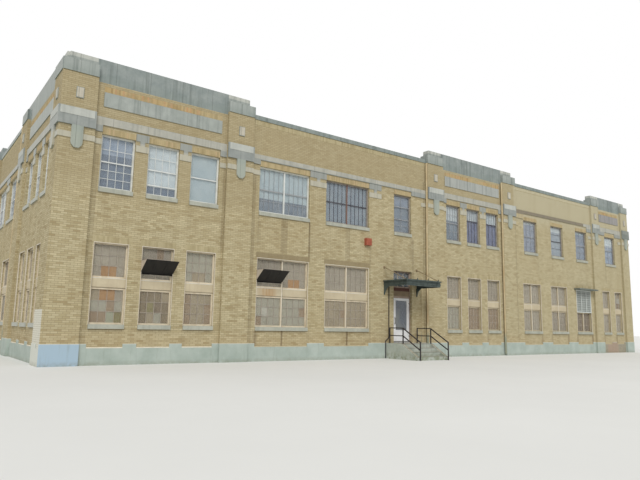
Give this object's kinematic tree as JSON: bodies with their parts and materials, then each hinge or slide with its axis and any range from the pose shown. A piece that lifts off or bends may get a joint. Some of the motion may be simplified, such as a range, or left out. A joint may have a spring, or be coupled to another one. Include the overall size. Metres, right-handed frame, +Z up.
{
  "type": "bakery factory building",
  "caption": "Long two-storey brick factory with stepped cast stone parapets over projecting pavilions, a metal entrance canopy and a stoop with steel railings.",
  "frame": {"origin": "under the middle of the building's overall box, at ground level", "axes": "+X along the front to the right, +Y from the front into the building, +Z up"},
  "size_m": [37.79, 23.091, 10.35],
  "materials": {
    "buff_brick": "buff brick with pale mortar",
    "plinth_paint": "pale grey-green masonry paint",
    "floor_concrete": "plain concrete",
    "roof_felt": "grey roofing felt",
    "cast_stone": "weathered cast stone",
    "stoop_concrete": "worn concrete",
    "frame_paint": "off-white paint",
    "spandrel_paint": "beige paint",
    "window_glass": "clear glass, dark behind",
    "door_paint": "white paint",
    "steel": "plain steel",
    "black_iron": "black paint",
    "canopy_paint": "dark green paint",
    "galvanised": "dull galvanised metal",
    "rust_paint": "buff paint with rust",
    "red_paint": "red paint"
  },
  "bodies": {
    "building": {"alarm_box": "red_paint", "back_wall": "buff_brick", "back_window_frames": "frame_paint", "back_window_glass": "window_glass", "belt_course": "cast_stone", "canopy_brackets": "canopy_paint", "canopy_drain": "black_iron", "canopy_finials": "canopy_paint", "canopy_roof": "canopy_paint", "canopy_tie_rods": "black_iron", "door_frame": "door_paint", "door_hinges": "steel", "downpipes": "rust_paint", "entrance_railings": "black_iron", "entrance_stoop": "stoop_concrete", "front_wall_centre": "buff_brick", "front_wall_left": "buff_brick", "front_wall_over_door": "buff_brick", "front_wall_right": "buff_brick", "front_window_frames": "frame_paint", "front_window_glass": "window_glass", "ground_floor": "floor_concrete", "head_trim": "cast_stone", "left_side_window_frames": "frame_paint", "left_side_window_glass": "window_glass", "left_wall": "buff_brick", "louvre_grille": "galvanised", "louvre_shade": "canopy_paint", "parapet_copings": "cast_stone", "parapet_panels": "cast_stone", "pavilion_caps": "cast_stone", "pier_hoods": "cast_stone", "plinth": "plinth_paint", "right_side_window_frames": "frame_paint", "right_side_window_glass": "window_glass", "right_wall": "buff_brick", "roof_deck": "roof_felt", "stoop_cheeks": "stoop_concrete", "transom_glass": "window_glass", "upper_floor": "floor_concrete", "vent_hoppers": "black_iron", "window_sills": "cast_stone", "window_spandrels": "spandrel_paint"},
    "front_door": {"front_door": "door_paint", "door_glass": "window_glass", "door_handle": "steel", "door_hinge_knuckles": "steel"}
  },
  "joints": [
    {"name": "front_door_hinge", "type": "hinge", "parent": "building", "child": "front_door", "pos_m": [-2.692, -9.3465, 1.728], "axis": [0, 0, 1], "range_deg": [0, 90]}
  ]
}
